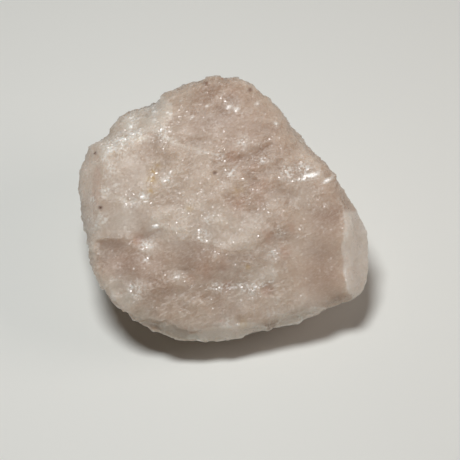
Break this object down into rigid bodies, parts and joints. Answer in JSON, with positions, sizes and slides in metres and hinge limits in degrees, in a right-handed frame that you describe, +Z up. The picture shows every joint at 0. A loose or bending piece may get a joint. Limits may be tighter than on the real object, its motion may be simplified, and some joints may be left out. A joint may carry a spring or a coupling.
{
  "type": "rough calcite",
  "caption": "Rough, unpolished chunk of pale pink translucent calcite with a broad leaning face, a chipped rim and a small flat base to rest on.",
  "frame": {"origin": "on the surface the stone rests on, under the centre of its bounding box", "axes": "+X to the stone's right end, +Y to its back, +Z up from the flat base; the broad face leans forward towards -Y"},
  "size_m": [0.0604, 0.051, 0.0373],
  "materials": {
    "calcite": "rough broken surface, pale dusty pink, cloudy and slightly see-through, with small sparkling crystal flakes"
  },
  "bodies": {
    "root": {"calcite_stone": "calcite"}
  },
  "joints": []
}
